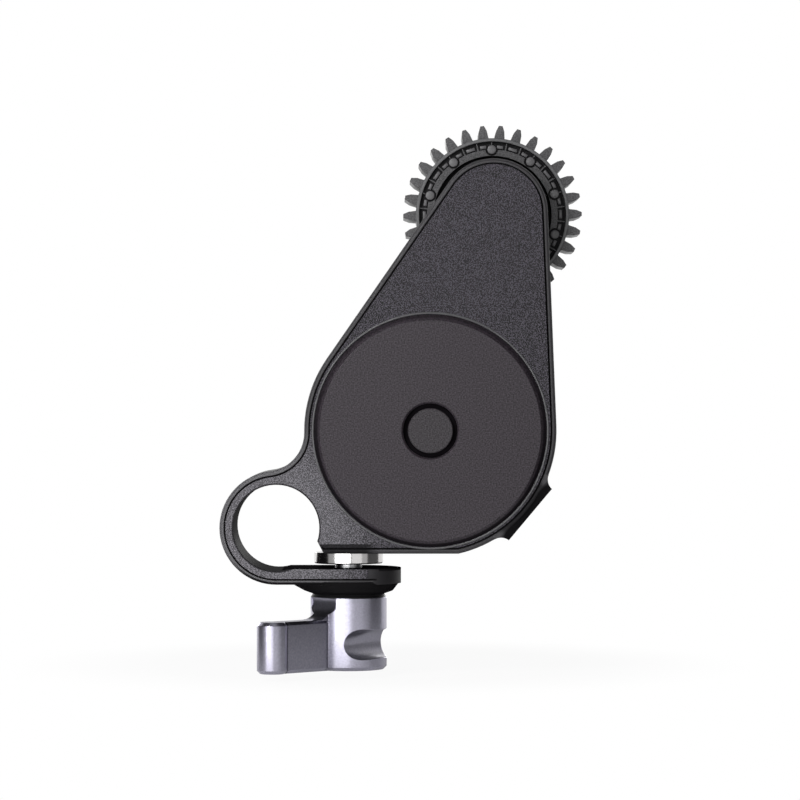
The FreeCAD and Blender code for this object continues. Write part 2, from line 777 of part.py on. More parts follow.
# ---- drive gear ----
def drive_cells():
    """Shallow cells round the front face between thin ribs, two ribs between neighbouring pins."""
    step = 360.0 / drive_teeth
    floor_y = drive_y + drive_cell_depth
    cells = tube(drive_cell_r + sink, drive_cell_inner_r, drive_y - past, floor_y, gear_axis)
    ribs = []
    for index in range(drive_teeth):
        angle = drive_phase + step * (index + 0.5)
        along = on_circle(Vector(), 1, angle)
        side = Vector(-along.z, 0, along.x) * (drive_rib_width / 2)
        near = gear_axis + along * (drive_cell_inner_r - sink)
        far = gear_axis + along * (drive_cell_r + 2 * sink)
        corners = [near - side, far - side, far + side, near + side]
        ribs.append(prism([(c.x, c.z) for c in corners], drive_y - past, floor_y + past))
    return cells.cut(ribs)


def drive_gear():
    outline = gear_outline(drive_teeth, drive_module, drive_addendum, drive_dedendum,
                           drive_pressure, backlash, drive_phase, 2)
    gear = prism([(x + gear_axis.x, z + gear_axis.z) for x, z in outline], drive_y, drive_end_y)
    cell_floor_y = drive_y + drive_cell_depth
    cuts = [disc(drive_sill_r, drive_y - past, drive_web_y, gear_axis),
            tube(drive_rim_r, drive_cell_r, drive_y - past, drive_y + drive_groove_depth, gear_axis),
            tube(drive_root_r - drive_rear_wall, drive_hub_r, drive_web_y + drive_web,
                 drive_end_y + past, gear_axis),
            disc(output_shaft_r, drive_y, drive_end_y + past, gear_axis),
            drive_cells()]
    pins = []
    first_pin = drive_phase + 360.0 / drive_teeth * 1.5
    for index in range(drive_pin_count):
        place = on_circle(gear_axis, drive_cell_inner_r, first_pin + 360.0 / drive_pin_count * index)
        cuts.append(small_round(drive_pin_r + drive_moat, drive_y - past, cell_floor_y, place))
        pins.append(small_round(drive_pin_r, drive_y, cell_floor_y, place))
    return gear.cut(cuts).fuse(pins)


def gear_washer():
    return tube(drive_hub_r + gear_washer_rim, gear_washer_bore_r, drive_end_y, washer_end_y, gear_axis)


def gear_screw():
    end_y = washer_end_y + gear_screw_head_height
    head = disc(gear_screw_head_r, washer_end_y, end_y, gear_axis)
    shank = disc(gear_screw_r, drive_end_y, washer_end_y, gear_axis)
    recess = hex_socket(gear_screw_socket_r, end_y - gear_screw_socket_depth, end_y + past, gear_axis)
    return head.fuse(shank).cut(recess)


# ---- motor ----
def spoke_frame(angle):
    """Outward and sideways directions of a spoke of the motor axis."""
    along = on_circle(Vector(), 1, angle)
    return along, Vector(-along.z, 0, along.x)


def radial_bar(angle, near, far, width, y0, y1):
    """Straight bar on a spoke of the motor axis."""
    along, side = spoke_frame(angle)
    half = side * (width / 2)
    start = motor_axis + along * near
    end = motor_axis + along * far
    corners = [start - half, end - half, end + half, start + half]
    return prism([(c.x, c.z) for c in corners], y0, y1)


def stator_core():
    """Laminated core: a tooth with a broad shoe for each slot, in one outline."""
    pitch = 360.0 / stator_slots
    mouth = math.degrees(slot_mouth / 2 / stator_r)
    half = tooth_width / 2
    neck = stator_r - shoe_thickness
    points = []
    for index in range(stator_slots):
        angle = pitch * index
        along, side = spoke_frame(angle)
        edge = on_circle(Vector(), stator_r, angle - pitch / 2 + mouth)
        under = on_circle(Vector(), neck, angle - pitch / 2 + mouth)
        far_under = on_circle(Vector(), neck, angle + pitch / 2 - mouth)
        far_edge = on_circle(Vector(), stator_r, angle + pitch / 2 - mouth)
        points += [along * yoke_r - side * half, along * neck - side * half, under, edge,
                   along * stator_r, far_edge, far_under, along * neck + side * half,
                   along * yoke_r + side * half]
    outline = [(motor_axis.x + p.x, motor_axis.z + p.z) for p in points]
    core = prism(outline, stator_y, stator_end_y)
    return core.cut(disc(stator_bore_r, stator_y - past, stator_end_y + past, motor_axis))


def stator_windings():
    coils = []
    for index in range(stator_slots):
        angle = 360.0 / stator_slots * index
        coil = radial_bar(angle, yoke_r + coil_foot_gap, stator_r - shoe_thickness - coil_shoe_gap,
                          coil_width, stator_y - coil_overhang, stator_end_y + coil_overhang)
        core = radial_bar(angle, yoke_r, stator_r, tooth_width + 2 * seat_gap,
                          stator_y - seat_gap, stator_end_y + seat_gap)
        coils.append(coil.cut(core))
    return Part.makeCompound(coils)


def rotor_bell():
    hole_r = rotor_shaft_r + seat_gap
    end_y = bell_floor_y + bell_floor
    open_y = stator_y - bell_lead
    profile = [(hole_r, end_y), (bell_r, end_y), (bell_r, open_y), (bell_bore_r, open_y),
               (bell_bore_r, bell_floor_y), (hole_r, bell_floor_y)]
    return revolved(profile, motor_axis)


def rotor_magnets():
    """Flat magnets round the inside of the bell, their corners against its wall."""
    reach = math.sqrt((bell_bore_r - seat_gap) ** 2 - (magnet_width / 2) ** 2)
    magnets = [radial_bar(360.0 / magnet_count * index, reach - magnet_thickness, reach, magnet_width,
                          stator_y, stator_end_y) for index in range(magnet_count)]
    return Part.makeCompound(magnets)


def rotor_shaft():
    return disc(rotor_shaft_r, rear_layer_y, bell_floor_y + bell_floor, motor_axis)


def control_board():
    return disc(board_r, board_y, board_y + board_thickness, motor_axis)


def board_components():
    """Four chips round the middle of the control board."""
    base = board_y + board_thickness
    low_x = motor_x - chip_gap / 2 - chip_wide
    high_x = motor_x + chip_gap / 2
    low_z = motor_z - chip_gap / 2 - chip_wide
    high_z = motor_z + chip_gap / 2
    chips = [Part.makeBox(chip_wide, chip_height, chip_wide, Vector(low_x, base, high_z)),
             Part.makeBox(chip_wide, chip_height, chip_narrow, Vector(high_x, base, high_z)),
             Part.makeBox(chip_narrow, chip_height, chip_wide, Vector(high_x, base, low_z)),
             Part.makeBox(chip_wide, chip_height, chip_wide, Vector(low_x, base, low_z))]
    return Part.makeCompound(chips)


# ---- cable port ----
def port_shell():
    back = port_reach - port_depth
    outer = port_slot(0, back, port_reach - port_end_gap)
    return outer.cut(port_slot(port_wall, back + port_wall, port_reach + past))


def port_tongue():
    return radial_bar(port_angle, port_reach - port_depth + port_wall, port_reach - contact_end_gap,
                      contact_thickness, port_y - contact_width / 2, port_y + contact_width / 2)


# ---- clamp screw ----
def clamp_insert():
    """Flanged steel insert under the motor body that takes the clamp screw."""
    flange_foot_z = slot_top_z - flange_height
    roof_z = slot_top_z + insert_shank_length
    flange = post(flange_r, flange_foot_z, slot_top_z, tongue_reach)
    rims = edges_where(flange, lambda edge: edge.BoundBox.ZMax < flange_foot_z + near)
    flange = flange.makeChamfer(insert_chamfer, rims)
    shank = post(insert_shank_r, slot_top_z - sink, roof_z, tongue_reach)
    bore = post(stud_r + running_gap, flange_foot_z - past, roof_z - thread_end, tongue_reach)
    return flange.fuse(shank).cut(bore)


def clamp_washer():
    foot_z = washer_top_z - washer_height
    cone = Part.makeCone(washer_r, washer_top_r, washer_height, Vector(tongue_reach, 0, foot_z))
    return cone.cut(post(stud_r + running_gap, foot_z - past, washer_top_z + past, tongue_reach))


def clamp_stud():
    top_z = slot_top_z + insert_shank_length - stud_end_gap
    return post(stud_r, stud_foot_z, top_z, tongue_reach)


def lever_wing(wing_top_z):
    """Flat wing with a round end, its edges broken all round."""
    height = wing_top_z - hub_foot_z
    half = wing_width / 2
    tip_x = tongue_reach - wing_reach
    neck = math.sqrt(wing_end_r ** 2 - half ** 2)
    start = math.degrees(math.asin(half / wing_end_r))
    tip = Vector(tip_x, 0, hub_foot_z)
    around = [tip + Vector(math.cos(math.radians(angle)), math.sin(math.radians(angle)), 0) * wing_end_r
              for angle in (start, 180, 360 - start)]
    root = [Vector(tongue_reach, side * half, hub_foot_z) for side in (-1, 1)]
    edges = [Part.Arc(*around).toShape(), Part.makeLine(around[2], root[0]),
             Part.makeLine(root[0], root[1]), Part.makeLine(root[1], around[0])]
    wing = Part.Face(Part.Wire(edges)).extrude(Vector(0, 0, height))
    rims = edges_where(wing, lambda edge: edge.BoundBox.ZLength < near
                       and edge.BoundBox.XMin < tip_x + neck + near)
    return wing.makeChamfer(edge_break, rims)


def clamp_lever():
    """Round hub with one flat wing, a cove where the wing leaves the hub and a thumb dimple."""
    axis = Vector(tongue_reach, 0, 0)
    hub = post(hub_r, hub_foot_z, hub_top_z, tongue_reach)
    foot = edges_where(hub, lambda edge: edge.BoundBox.ZMax < hub_foot_z + near)
    hub = hub.makeChamfer(edge_break, foot)
    wing_top_z = hub_top_z - wing_drop
    cove_x = tongue_reach - hub_r - cove_r + cove_bite
    half = wing_width / 2
    fill = Part.makeBox(tongue_reach - cove_x, wing_width, cove_r,
                        Vector(cove_x, -half, wing_top_z - sink))
    cove = Part.makeCylinder(cove_r, wing_width + 2 * past,
                             Vector(cove_x, -half - past, wing_top_z + cove_r), Vector(0, 1, 0))
    lever = hub.fuse([lever_wing(wing_top_z), fill]).cut(cove)
    lever.rotate(axis, Vector(0, 0, 1), wing_turn)
    bore = post(stud_r + seat_gap, stud_foot_z - seat_gap, hub_top_z + past, tongue_reach)
    return lever.cut([thumb_dimple(), bore])


def thumb_dimple():
    """Round groove straight across the hub's side."""
    out = on_circle(Vector(), 1, dimple_side)
    outward = Vector(out.x, out.z, 0)
    along = Vector(-outward.y, outward.x, 0)
    reach = hub_r + dimple_r - dimple_depth
    middle = Vector(tongue_reach, 0, hub_top_z - dimple_below) + outward * reach
    return Part.makeCylinder(dimple_r, 2 * (hub_r + past), middle - along * (hub_r + past), along)


def save(name, shape):
    shape.exportStep("parts/" + name + ".step")


def make_body():
    save("main_housing", main_housing())
    save("rear_housing", rear_housing())
    save("rear_cover", rear_cover())
    for index, place in enumerate(screw_places(cover_screw_angles)):
        save("rear_cover_screw_%d" % (index + 1), cover_screw(place))
    save("motor_cap", motor_cap())
    save("button_cap", button_cap())
    save("switch_board", switch_board())
    save("switch_case", switch_case())
    save("switch_plunger", switch_plunger())
    save("port_shell", port_shell())
    save("port_tongue", port_tongue())


def make_train():
    save("motor_pinion", motor_pinion())
    save("idler_gear_1", idler_gear(idler_1_axis, idler_1_small_teeth, idler_1_phase,
                                    idler_1_large_teeth, idler_1_phase))
    save("idler_gear_2", idler_gear(idler_2_axis, idler_2_large_teeth, idler_2_phase,
                                    idler_2_small_teeth, idler_2_phase))
    save("idler_axle_1", idler_axle(idler_1_axis))
    save("idler_axle_2", idler_axle(idler_2_axis))
    save("output_gear", output_gear())
    save("output_shaft", output_shaft())
    save("output_bearing_1", output_bearing(plate_y + output_end_gap))
    save("output_bearing_2", output_bearing(output_tube_end_y - output_end_gap - bearing_length))
    save("drive_gear", drive_gear())
    save("gear_washer", gear_washer())
    save("gear_screw", gear_screw())


def make_motor():
    save("motor_bearing_1", motor_bearing(plate_y + bearing_end_gap, plate_y + bearing_length))
    save("motor_bearing_2", motor_bearing(motor_tube_end_y - bearing_length,
                                          motor_tube_end_y - bearing_end_gap))
    save("stator_core", stator_core())
    save("stator_windings", stator_windings())
    save("rotor_bell", rotor_bell())
    save("rotor_magnets", rotor_magnets())
    save("rotor_shaft", rotor_shaft())
    save("control_board", control_board())
    save("board_components", board_components())


def make_clamp():
    save("clamp_insert", clamp_insert())
    save("clamp_washer", clamp_washer())
    save("clamp_stud", clamp_stud())
    save("clamp_lever", clamp_lever())


os.makedirs("parts", exist_ok=True)
make_body()
make_train()
make_motor()
make_clamp()
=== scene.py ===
import json
import math

import bmesh
import bpy
from mathutils import Matrix, Vector


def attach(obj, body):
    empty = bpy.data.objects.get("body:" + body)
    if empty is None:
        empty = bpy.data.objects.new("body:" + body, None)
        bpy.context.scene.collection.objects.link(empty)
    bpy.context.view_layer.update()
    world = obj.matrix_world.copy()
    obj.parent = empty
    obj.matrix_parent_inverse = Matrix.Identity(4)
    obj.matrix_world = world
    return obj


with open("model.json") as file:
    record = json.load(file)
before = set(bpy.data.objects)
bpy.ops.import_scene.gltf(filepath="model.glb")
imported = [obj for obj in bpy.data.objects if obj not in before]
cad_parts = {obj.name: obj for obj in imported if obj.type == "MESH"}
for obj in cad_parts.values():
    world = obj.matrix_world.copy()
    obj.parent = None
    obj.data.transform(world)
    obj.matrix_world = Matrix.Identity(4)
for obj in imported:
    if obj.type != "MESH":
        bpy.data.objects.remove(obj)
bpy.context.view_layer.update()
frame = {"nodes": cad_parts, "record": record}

MM = 0.001

# Lengths are millimetres. A pair says where something starts and ends, or where an axis lies.

# ---- housing ----
RAISED_FACE_Y = -7.0
FACE_EDGE_Y = (-6.96, -6.90)
RIM_FOOT_Y = (-6.15, -5.95)
RIM_GROOVE_Y = (-6.42, -6.2)
ROD_AXIS = (0, 0)
ROD_BORE_R = (6.22, 6.38)
# painted light: the face and rim are made lighter within this reach of the rod's axis
PAINTED_LIGHT_R = (7.0, 17.0)
UNDERSIDE_Z = (-7.5, -3.0)
SLOT_Z = (-6.0, -3.4)
SLOT_X = (0.5, 2.0)
TONGUE_Z = (-11.0, -5.0)
TONGUE_END_X = (11.5, 16.0)
FOOT_Z = (-3.6, -2.35)
FOOT_LEFT_X = (5.2, 6.4)
FOOT_RIGHT_X = (12.5, 15.0)
PORT_TURN = math.radians(-40)
PORT_SLOPE_OUT = (17.1, 17.4)
PORT_SLOPE_Y = (-6.55, -6.3)
PORT_FLANK_OUT = (10.0, 12.0)
PORT_FLANK_R = (16.85, 17.05)
PORT_FLANK_Y = (-5.0, -4.0)
PORT_WIDTH_SQUARED = (15.0, 24.0)
FACING_DOWN = (0.12, 0.5)
FACING_FRONT = (0.96, 0.99)
FACING_AHEAD = (0.25, 0.4)
# shares of painted shade in the bore, at the tongue's end and at the foot, and of darkening on the port
# pad
BORE_SHADE = 0.9
TONGUE_END_SHADE = 0.6
FOOT_SHADE = 0.9
PORT_SLOPE_DARKENING = 0.85
PORT_FLANK_DARKENING = 0.75

# ---- cap and button ----
CAP_AXIS = (21.78, 13.74)
CAP_HOLE_R = 16.45
# where the cap's bevel takes painted shade, and how that shade fades upwards
CAP_BEVEL_R = (15.8, 16.1)
CAP_BEVEL_FADE_Z = (-6.0, 13.0)
CAP_BEVEL_FADE = 0.55
CAP_BEVEL_SHADE = 0.94
BUTTON_GAP_R = (3.20, 3.82)

# ---- bead round the cap ----
BEAD_INNER_R = CAP_HOLE_R + 0.01
BEAD_OUTER_R = CAP_HOLE_R + 0.31
BEAD_RISE = 0.13
BEAD_WALL = 0.05
BEAD_ROUND = (0.07, 0.02)
BEAD_STEPS = 160

# ---- drive gear ----
GEAR_AXIS = (30.75, 44.62)
GEAR_FRONT_Y = 0.4
GEAR_TEETH = 30
GEAR_PHASE = 0.67
TOOTH_PITCH = 360 / GEAR_TEETH
TOOTH_R = (11.2, 12.6)
GEAR_RECESS_R = (10.52, 10.6)
GEAR_RECESS_Y = (GEAR_FRONT_Y + 0.12, 7.0)
GEAR_RECESS_SHADE = 0.85

# ---- lip, pads, stubs and pins of the gear ----
LIP_R = (10.52, 10.98)
LIP_RISE = 0.10
LIP_INNER_CHAMFER = 0.05
LIP_OUTER_CHAMFER = (0.08, 0.06)
LIP_STEPS = 150
PIN_EVERY = 3
PIN_PITCH = TOOTH_PITCH * PIN_EVERY
FIRST_PIN = GEAR_PHASE + 18
PIN_REACH = 9.37
PIN_RADIUS = 0.66
PIN_DEPTH = 0.34
PIN_DOME = 0.12
PIN_SIDES = 28
PIN_MIDDLE_Y = GEAR_FRONT_Y + 0.12
MOAT_R = (0.80, 0.90)
MOAT_Y = (0.9, 1.2)
PAD_REACH = 9.76
PAD_LENGTH = 0.44
PAD_DEPTH = 0.34
PAD_EDGE = 0.06
PAD_MIDDLE_Y = GEAR_FRONT_Y + 0.22
PAD_WIDTH_AND_LEAN = ((1.26, 0), (0.86, -1.2), (0.86, 1.2))
STUB_REACH = 10.24
STUB_SIZE = (0.34, 0.36, 0.12)
STUB_EDGE = 0.02
STUB_MIDDLE_Y = GEAR_FRONT_Y + 0.24

# ---- lever ----
LEVER_AXIS_X = 10.13
WING_TURN = math.radians(180 + 41.8)
HUB_CORNER = (5.15, 5.4)
WING_WEB = (5.6, 12.79)
BULB_SEAM = (12.74, 12.84)
DIMPLE_TURN = math.radians(-31.5)
DIMPLE_AXIS = (4.51, -16.62)
DIMPLE_WALL_R = (2.17, 2.25)
DIMPLE_LOW = (-1.7, 0.4)
# painted shade on the lever: the bulb's seam, the web, the hub's corner, the dimple and its lower side
SEAM_SHADE = 0.55
WEB_SHADE = 0.2
CORNER_SHADE = 0.4
DIMPLE_SHADE = 0.1
DIMPLE_LOW_SHADE = 0.52

# ---- metal, boards and windings ----
TURNED_RINGS = (0.3, 0.3, 9.0)
BRASS_CUTS = (0.6, 12.0, 0.6)
WIRE_PITCH = 0.28
TRACK_EDGE = (0.10, 0.14)

# ---- new pieces ----
SUNK = 0.02
SMOOTH_BELOW = 35
BEAD_SMOOTH_BELOW = 60

# ---- grain and gloss ----
NOISE_ROUGHNESS = 0.55
# roughness of the dark coat that paints shade
SHADE_ROUGHNESS = 0.9
EDGE_SAMPLES = 6
GRAIN_EDGE = (0.36, 0.68)
SPARKLE = 2.4
SPARKLE_UNDER_PAINTED_LIGHT = 1.2
PAINTED_LIGHT_LIFT = 0.5
SAND_LOWEST = 0.05
FACE_ROUGHER = 0.13

# ---- colours ----
SIDE_BLACK = ((0.030, 0.0288, 0.0315), (0.040, 0.0385, 0.042))
# the second colour of RIM_BLACK and SAND_BLACK is the painted light near the clamp ring
RIM_BLACK = ((0.034, 0.0325, 0.0355), (0.085, 0.083, 0.089))
SAND_BLACK = ((0.0245, 0.0218, 0.0282), (0.090, 0.086, 0.096))
# painted shade in the housing's recesses and under it
HOUSING_SHADE_BLACK = (0.010, 0.0096, 0.0104)
CAP_BLACK = (0.0250, 0.0195, 0.0252)
BUTTON_BLACK = (0.0255, 0.0218, 0.0258)
# painted shade in the button's gap and on the cap's bevel
CAP_SHADE_BLACK = (0.0075, 0.0064, 0.0078)
GEAR_BLACK = ((0.034, 0.033, 0.0355), (0.050, 0.049, 0.052))
TOOTH_BLACK = (0.052, 0.051, 0.054)
# painted shade in the gear's recesses
GEAR_SHADE_BLACK = (0.004, 0.004, 0.0044)
BEAD_BLACK = (0.070, 0.069, 0.073)
PAD_BLACK = (0.068, 0.066, 0.070)
LIP_BLACK = (0.072, 0.072, 0.075)
PIN_BLACK = (0.080, 0.078, 0.082)
LEVER_VIOLET = ((0.352, 0.343, 0.412), (0.396, 0.387, 0.462))
INSERT_STEEL = (0.66, 0.645, 0.64)
SHAFT_STEEL = (0.52, 0.52, 0.53)
SMEARED = 0.92
WASHER_BLACK = ((0.007, 0.0068, 0.0075), (0.011, 0.0106, 0.0117))
SCREW_BLACK = ((0.022, 0.022, 0.025), (0.060, 0.060, 0.066))
BRASS = ((0.60, 0.42, 0.17), (0.70, 0.51, 0.24))
COPPER = ((0.38, 0.115, 0.035), (0.52, 0.19, 0.07))
NICKEL = ((0.20, 0.20, 0.21), (0.28, 0.28, 0.29))
MASK_GREEN = ((0.008, 0.050, 0.022), (0.012, 0.066, 0.030))
TRACK_GREEN = (0.022, 0.105, 0.045)
EPOXY_BLACK = ((0.012, 0.012, 0.013), (0.026, 0.026, 0.028))

# ---- floor and surround ----
FLOOR_X = 14
FLOOR_Y = 22
FLOOR_Z = -21.5
FLOOR_R = 60
FLOOR_SIDES = 96
FLOOR_FADE_R = (0.45 * FLOOR_R, 0.98 * FLOOR_R)
FLOOR_PAPER = (0.8, 0.8, 0.8)
FLOOR_WHITE = 0.93
FLOOR_MIRRORED = 0.2
SURROUND_DIM = (0.34, 0.34, 0.35)
WHITE = (1, 1, 1)

# ---- lamps: name, place, target, width, height, watts ----
CLAMP_AIM = (10, 0, 5)
BODY_AIM = (20, 10, 20)
LAMPS = (
    ("front_light", (-190, -575, 50), CLAMP_AIM, 600, 340, 2.25),
    ("left_light", (-540, -330, 30), CLAMP_AIM, 260, 340, 0.11),
    ("upper_light", (-52, -138, 112), (14, 0, 22), 60, 60, 0.18),
    ("right_light", (330, -600, 40), CLAMP_AIM, 420, 340, 0.46),
    ("far_right_light", (555, -375, 40), CLAMP_AIM, 260, 340, 0.14),
    ("ring_light", (-90, -170, -70), (-6, 0, -4), 50, 50, 0.11),
    ("overhead_light", (60, 60, 640), BODY_AIM, 420, 320, 0.25),
    ("rear_left_light", (-420, 700, 140), BODY_AIM, 400, 300, 2.2),
    ("rear_right_light", (330, 770, 190), BODY_AIM, 400, 300, 2.3),
)

# ---- grey cards: name, place, target, width, height, tone ----
CARD_AIM = (0, -400, 0)
CARDS = (
    ("card_front", (0, -1500, 0), (0, 0, 0), 3200, 3000, 0.10),
    ("card_right", (1400, -400, 0), CARD_AIM, 2400, 3000, 0.40),
    ("card_left", (-1400, -400, 0), CARD_AIM, 2400, 3000, 0.30),
    ("card_below", (0, -400, -700), CARD_AIM, 3000, 2400, 0.10),
    ("card_above", (0, -400, 1300), CARD_AIM, 3000, 2400, 0.10),
)

# ---- camera ----
CAMERA_PLACE = (17.49, -487, 18.08)
SENSOR_WIDTH = 36
LENS_LENGTH = 153
CLIP_METRES = (0.01, 20)


# ---- nodes ----
class Socket:
    """One output of a node tree that takes part in Python arithmetic."""

    def __init__(self, tree, out):
        self.tree = tree
        self.out = out

    def math(self, operation, *others):
        """A Math node on this value and the others."""
        values = dict(enumerate((self, *others)))
        return self.tree.make("ShaderNodeMath", {"operation": operation}, values)

    def __add__(self, other):
        return self.math("ADD", other)

    def __sub__(self, other):
        return self.math("SUBTRACT", other)

    def __mul__(self, other):
        return self.math("MULTIPLY", other)

    def __pow__(self, other):
        return self.math("POWER", other)

    def __rsub__(self, other):
        return self.tree.make("ShaderNodeMath", {"operation": "SUBTRACT"}, {0: other, 1: self})

    __radd__ = __add__
    __rmul__ = __mul__

    def step(self, low, high):
        """0 below low, 1 above high and smooth between them."""
        return self.tree.make(
            "ShaderNodeMapRange", {"interpolation_type": "SMOOTHSTEP"},
            {"Value": self, "From Min": low, "From Max": high})

    def band(self, low, high, soft):
        """1 between low and high, 0 outside, eased over soft."""
        return self.step(low - soft, low) * (1 - self.step(high, high + soft))

    def about(self, middle, spread):
        """A noise of 0 to 1, moved so that it varies by spread about middle."""
        return (self - 0.5) * spread + middle


def radius(centre, first, second):
    """Distance from an axis through centre, from the places along the two axes across it."""
    aside = first - centre[0]
    beyond = second - centre[1]
    return (aside * aside + beyond * beyond) ** 0.5


def towards(turn, first, second):
    """Distance along a direction that is turned from the first axis to the second."""
    return first * math.cos(turn) + second * math.sin(turn)


class Tree:
    """A node tree under construction, for a material or the world."""

    def __init__(self, owner):
        owner.use_nodes = True
        self.nodes = owner.node_tree.nodes
        self.links = owner.node_tree.links
        self.nodes.clear()

    def add(self, kind, settings, values):
        """Adds a node: its settings first, then the value or link of each named socket."""
        node = self.nodes.new(kind)
        for key, value in settings.items():
            setattr(node, key, value)
        for key, value in values.items():
            self.feed(node.inputs[key], value)
        return node

    def make(self, kind, settings, values, out=0):
        """Adds a node and gives back one of its outputs."""
        return Socket(self, self.add(kind, settings, values).outputs[out])

    def feed(self, socket, value):
        """Links a value to a socket, or writes it there."""
        if isinstance(value, Socket):
            self.links.new(value.out, socket)
        elif socket.type == "RGBA" and len(value) == 3:
            socket.default_value = (*value, 1)
        else:
            socket.default_value = value

    def ray(self, name):
        """1 for rays of one kind, such as those that leave the camera."""
        return self.make("ShaderNodeLightPath", {}, {}, name)

    def shown_to_lens(self, mirrored=1.0):
        """1 for rays that leave the camera and the share mirrored for rays off gloss or through glass."""
        indirect = self.ray("Is Glossy Ray") + self.ray("Is Transmission Ray")
        return (self.ray("Is Camera Ray") + indirect * mirrored).math("MINIMUM", 1.0)


class Surface(Tree):
    """A material under construction. Its lengths are millimetres."""

    def __init__(self, name):
        self.material = bpy.data.materials.new(name)
        super().__init__(self.material)
        place = self.make("ShaderNodeTexCoord", {}, {}, "Object")
        self.place = self.make(
            "ShaderNodeVectorMath", {"operation": "SCALE"}, {"Vector": place, "Scale": 1 / MM})
        self.x, self.y, self.z = self.split(self.place)

    def split(self, vector):
        """The three parts of a vector."""
        parts = self.add("ShaderNodeSeparateXYZ", {}, {"Vector": vector})
        return [Socket(self, parts.outputs[axis]) for axis in "XYZ"]

    def facing(self):
        """The three parts of the surface's own direction on the piece."""
        return self.split(self.make("ShaderNodeTexCoord", {}, {}, "Normal"))

    def noise(self, per_mm, detail=2, at=None):
        """Soft noise of 0 to 1."""
        values = {"Scale": per_mm, "Detail": detail, "Roughness": NOISE_ROUGHNESS}
        return self.make(
            "ShaderNodeTexNoise", {"noise_dimensions": "3D"}, {"Vector": at or self.place, **values})

    def cells(self, per_mm, feature="F1"):
        """Distance from the middle of a cell, or from its edge."""
        return self.make(
            "ShaderNodeTexVoronoi", {"feature": feature}, {"Vector": self.place, "Scale": per_mm})

    def stretched(self, scale):
        """Places scaled by their own number along each axis."""
        return self.make("ShaderNodeVectorMath", {"operation": "MULTIPLY"}, {0: self.place, 1: scale})

    def blend(self, share, first, second):
        """The first colour where share is 0 and the second where it is 1."""
        return self.make(
            "ShaderNodeMix", {"data_type": "RGBA"}, {"Factor": share, 6: first, 7: second}, 2)

    def shade(self, colour, brightness):
        """A colour made lighter or darker by a number that varies."""
        return self.make(
            "ShaderNodeVectorMath", {"operation": "SCALE"}, {"Vector": colour, "Scale": brightness})

    def mixed(self, share, first, second):
        """The first shader where share is 0 and the second where it is 1."""
        return self.make("ShaderNodeMixShader", {}, {0: share, 1: first, 2: second})

    def ended(self, shader):
        """The whole material, once its last shader is known."""
        self.add("ShaderNodeOutputMaterial", {}, {"Surface": shader})
        return self.material


class Finish(Surface):
    """A coat of lacquer, metal or polymer."""

    def __init__(self, name):
        super().__init__(name)
        self.coat = self.add("ShaderNodeBsdfPrincipled", {}, {})
        self.shader = Socket(self, self.coat.outputs[0])

    def plain(self, **values):
        """Constants that sit on the shader's own sockets."""
        for key, value in values.items():
            self.feed(self.coat.inputs[key.replace("_", " ")], value)

    def varied(self, colour, roughness):
        """A colour and a roughness that change over the surface."""
        self.feed(self.coat.inputs["Base Color"], colour)
        self.feed(self.coat.inputs["Roughness"], roughness)

    def relief(self, height, depth, edge=0.08, strength=1.0):
        """Raises the surface by height times depth, over edges eased to a small radius."""
        eased = self.make("ShaderNodeBevel", {"samples": EDGE_SAMPLES}, {"Radius": edge * MM})
        bump = self.make(
            "ShaderNodeBump", {},
            {"Height": height, "Distance": depth * MM, "Strength": strength, "Normal": eased})
        self.feed(self.coat.inputs["Normal"], bump)

    def paint_shade_where(self, share, colour):
        """Paints shade: swaps the coat for a dark one without gloss where share is 1."""
        shade_coat = self.make(
            "ShaderNodeBsdfPrincipled", {},
            {"Base Color": colour, "Roughness": SHADE_ROUGHNESS, "Specular IOR Level": 0.0})
        self.shader = self.mixed(share, self.shader, shade_coat)

    def done(self):
        """The whole material."""
        return self.ended(self.shader)


# ---- finishes ----
def housing_painted_shade(f, face, rim):
    """How far each place takes the dark coat, from 0 in the open to 1: painted shade in the bore, on
    undersides, in the slot and the rim's groove, at the tongue's end and the foot, and darkening on the
    port pad.
    """
    facing = f.facing()
    forward = facing[1] * -1
    downward = facing[2] * -1
    bore = 1 - radius(ROD_AXIS, f.x, f.z).step(*ROD_BORE_R)
    underside = downward.step(*FACING_DOWN) * (1 - f.z.step(*UNDERSIDE_Z))
    slot = f.z.band(*SLOT_Z, soft=0.2) * f.x.step(*SLOT_X) * (1 - face) * (1 - rim)
    groove = forward.step(*FACING_FRONT) * f.y.band(*RIM_GROOVE_Y, soft=0.03)
    tongue_end = f.x.step(*TONGUE_END_X) * f.z.band(*TONGUE_Z, soft=0.3)
    foot = f.z.band(*FOOT_Z, soft=0.15) * f.x.step(*FOOT_LEFT_X) * (1 - f.x.step(*FOOT_RIGHT_X))
    right = f.x - CAP_AXIS[0]
    up = f.z - CAP_AXIS[1]
    out = towards(PORT_TURN, right, up)
    across = towards(PORT_TURN + math.pi / 2, right, up)
    port_slope = out.step(*PORT_SLOPE_OUT) * forward.step(*FACING_AHEAD) * f.y.step(*PORT_SLOPE_Y)
    port_reach = radius(CAP_AXIS, f.x, f.z).step(*PORT_FLANK_R) * out.step(*PORT_FLANK_OUT)
    port_width = 1 - (across * across).step(*PORT_WIDTH_SQUARED)
    port_flank = port_reach * port_width * (1 - f.y.step(*PORT_FLANK_Y))
    clamp = bore * BORE_SHADE + underside + slot + tongue_end * TONGUE_END_SHADE + foot * FOOT_SHADE
    body = groove + port_slope * PORT_SLOPE_DARKENING + port_flank * PORT_FLANK_DARKENING
    return (clamp + body).math("MINIMUM", 1.0)


